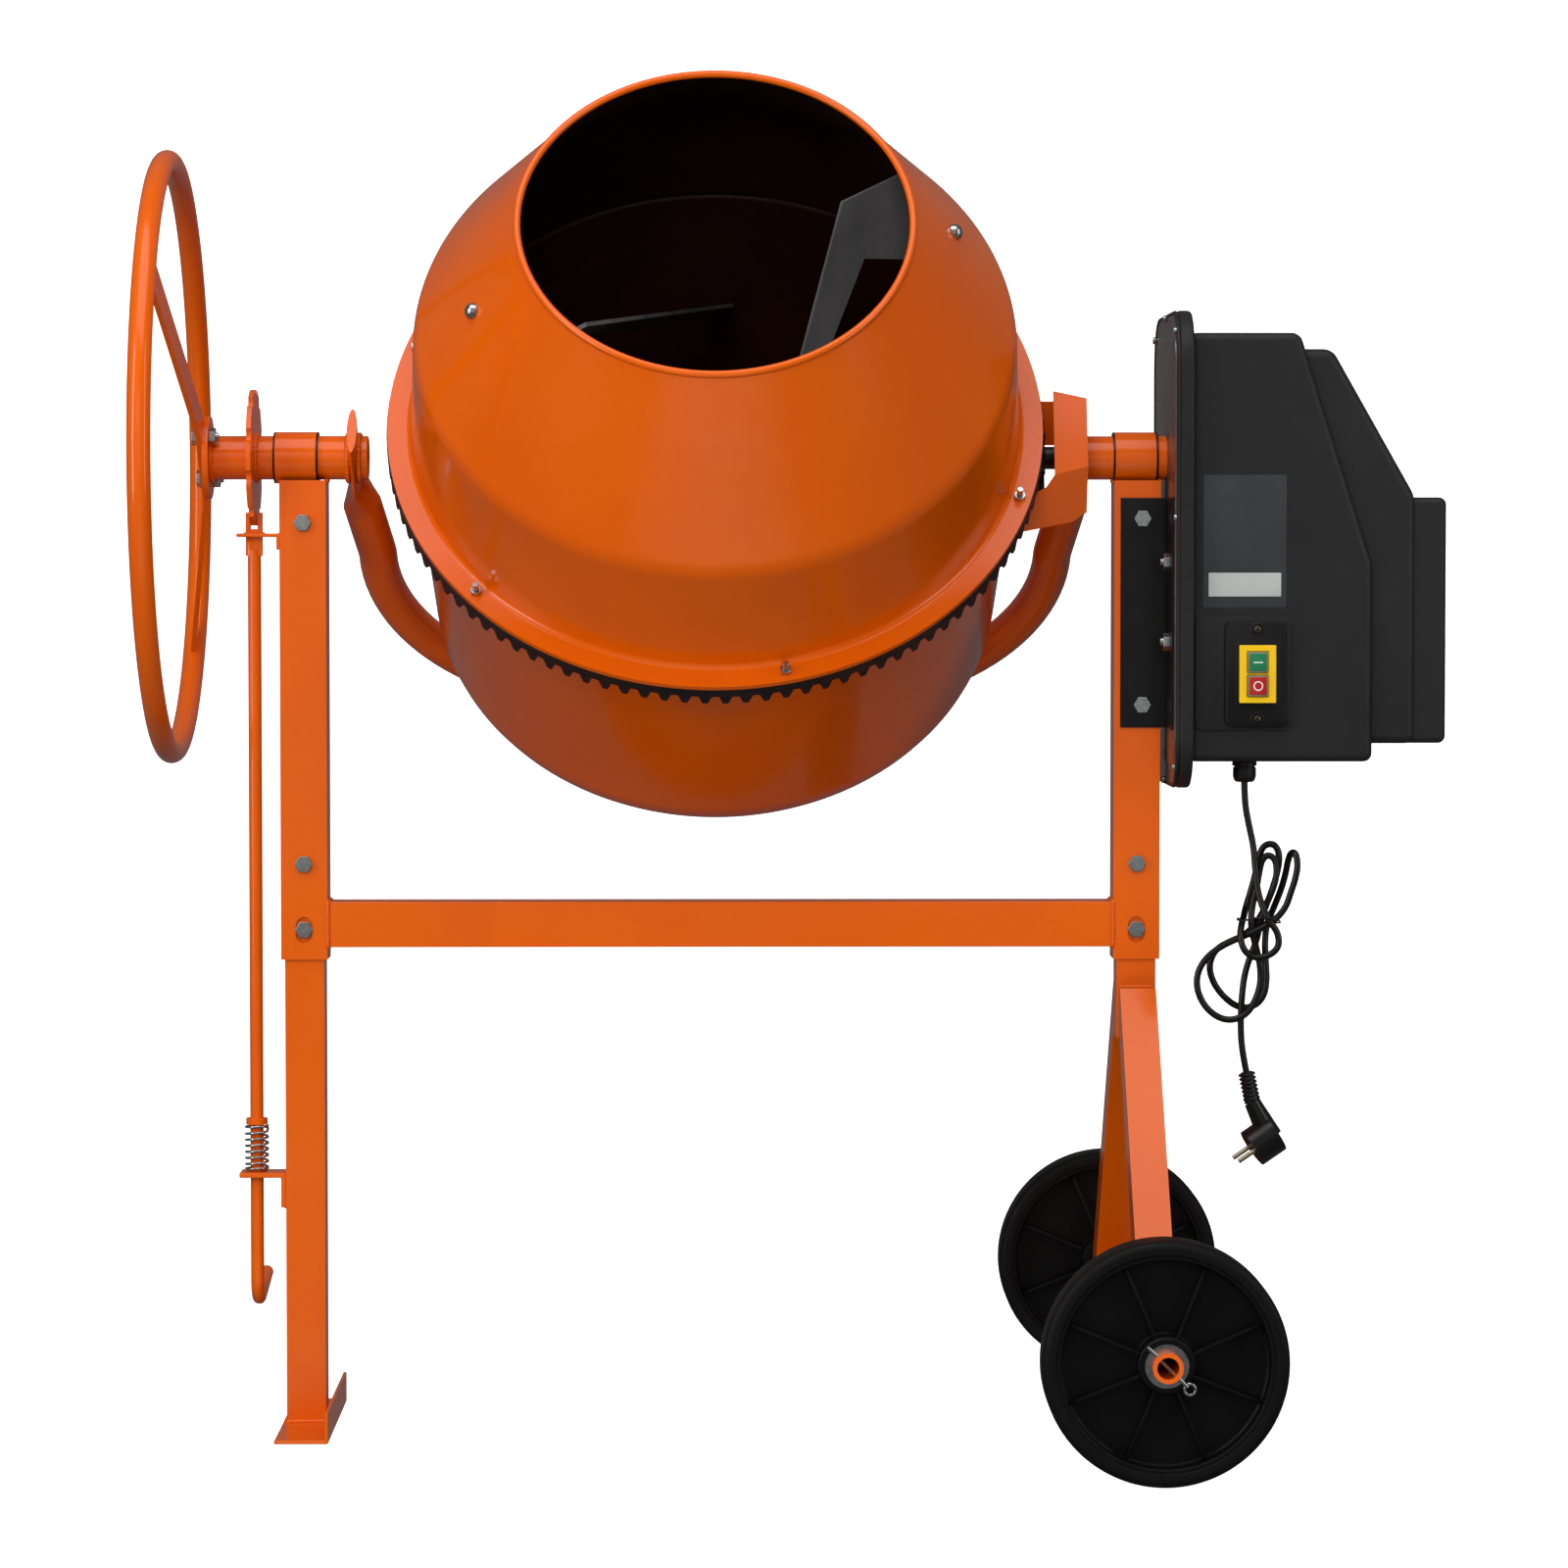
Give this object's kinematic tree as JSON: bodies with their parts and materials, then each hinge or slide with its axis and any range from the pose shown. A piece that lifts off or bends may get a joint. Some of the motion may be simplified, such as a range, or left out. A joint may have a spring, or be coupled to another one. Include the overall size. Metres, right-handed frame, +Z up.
{
  "type": "concrete mixer",
  "caption": "Tilting-drum concrete mixer on a tubular stand with transport wheels, ring gear, enclosed motor drive, tilting handwheel, locking pedal and mains lead.",
  "frame": {"origin": "on the floor, under the middle of the mixer's length and depth", "axes": "+Z up; +X from the handwheel to the motor housing; the drum's mouth leans towards -Y"},
  "size_m": [1.2362, 0.78, 1.2997],
  "materials": {
    "orange_paint": "gloss",
    "dark_steel": "hot rolled, dark",
    "cover_plastic": "grained",
    "black_paint": "satin",
    "gear_iron": "painted black",
    "zinc": "zinc plated",
    "yellow_zinc": "yellow zinc plated",
    "bare_steel": "plain",
    "wheel_plastic": "matt",
    "black_plastic": "matt",
    "yellow_plastic": "satin",
    "green_plastic": "satin",
    "red_plastic": "satin",
    "cord_sheath": "matt",
    "nickel_pins": "nickel plated",
    "belt_rubber": "matt"
  },
  "bodies": {
    "frame": {"left_post": "orange_paint", "right_post": "orange_paint", "cross_beam": "orange_paint", "left_bearing_sleeve": "orange_paint", "right_bearing_sleeve": "orange_paint", "trunnion_washers": "black_paint", "left_leg": "orange_paint", "right_leg_stub": "orange_paint", "foot_plate": "orange_paint", "front_axle_leg": "orange_paint", "rear_axle_leg": "orange_paint", "wheel_axle": "orange_paint", "axle_washers_and_pins": "zinc", "frame_bolts": "yellow_zinc", "latch_guide": "orange_paint", "spring_bracket": "orange_paint", "motor_bracket": "black_paint", "back_plate": "cover_plastic", "drive_cover": "cover_plastic", "housing_screws": "zinc", "switch_box": "black_plastic", "switch_bezel": "yellow_plastic", "cable_gland": "black_plastic", "motor_body": "black_paint", "drive_belt": "belt_rubber", "cord_upper": "cord_sheath", "cord_hank": "cord_sheath", "cord_lower": "cord_sheath", "plug_body": "black_plastic", "plug_pins": "nickel_pins"},
    "yoke": {"yoke_tube": "orange_paint", "left_trunnion": "orange_paint", "right_trunnion": "orange_paint", "locking_disc": "orange_paint", "pinion_guard": "orange_paint", "drum_hub": "orange_paint", "handwheel_rim": "orange_paint", "handwheel_spokes": "orange_paint", "handwheel_flange": "orange_paint", "handwheel_bolts": "yellow_zinc", "shaft_bearings": "bare_steel"},
    "drum": {"drum_cone": "orange_paint", "drum_barrel": "orange_paint", "ring_gear": "gear_iron", "flange_bolts": "yellow_zinc", "drum_spindle": "orange_paint", "mixing_blades": "dark_steel", "blade_bolts": "yellow_zinc"},
    "drive": {"drive_shaft": "bare_steel", "pinion": "gear_iron", "driven_pulley": "gear_iron"},
    "rotor": {"motor_pulley": "gear_iron", "motor_shaft": "bare_steel"},
    "pedal": {"latch_rod": "orange_paint", "pedal_spring": "zinc"},
    "front_wheel": {"front_wheel": "wheel_plastic"},
    "rear_wheel": {"rear_wheel": "wheel_plastic"},
    "start_button": {"start_button": "green_plastic"},
    "stop_button": {"stop_button": "red_plastic"}
  },
  "joints": [
    {"name": "drum_tilt", "type": "hinge", "parent": "frame", "child": "yoke", "pos_m": [-0.0799, 0, 0.941], "axis": [1, 0, 0], "range_deg": [-52, 80]},
    {"name": "drum_spin", "type": "hinge", "parent": "yoke", "child": "drum", "pos_m": [-0.0799, 0, 0.941], "axis": [0, -0.7934, 0.6088], "continuous": true},
    {"name": "drive_spin", "type": "hinge", "parent": "yoke", "child": "drive", "pos_m": [0.3201, 0, 0.941], "axis": [1, 0, 0], "continuous": true},
    {"name": "motor_spin", "type": "hinge", "parent": "frame", "child": "rotor", "pos_m": [0.4201, 0, 0.785], "axis": [1, 0, 0], "continuous": true},
    {"name": "pedal_press", "type": "slide", "parent": "frame", "child": "pedal", "axis": [0, 0, -1], "range_m": [0, 0.02], "stiffness_N_per_m": 2000, "springref_m": -0.012, "deforming": ["pedal_spring"]},
    {"name": "front_wheel_spin", "type": "hinge", "parent": "frame", "child": "front_wheel", "pos_m": [0.3286, -0.35, 0.113], "axis": [0, 1, 0], "continuous": true},
    {"name": "rear_wheel_spin", "type": "hinge", "parent": "frame", "child": "rear_wheel", "pos_m": [0.3286, 0.35, 0.113], "axis": [0, 1, 0], "continuous": true},
    {"name": "start_press", "type": "slide", "parent": "frame", "child": "start_button", "axis": [0, 1, 0], "range_m": [0, 0.003], "stiffness_N_per_m": 400, "springref_m": -0.002},
    {"name": "stop_press", "type": "slide", "parent": "frame", "child": "stop_button", "axis": [0, 1, 0], "range_m": [0, 0.003], "stiffness_N_per_m": 400, "springref_m": -0.002}
  ],
  "couplings": [
    {"joint": "drive_spin", "follows": "drum_spin", "ratio": -8.6667},
    {"joint": "motor_spin", "follows": "drum_spin", "ratio": -43.333}
  ]
}
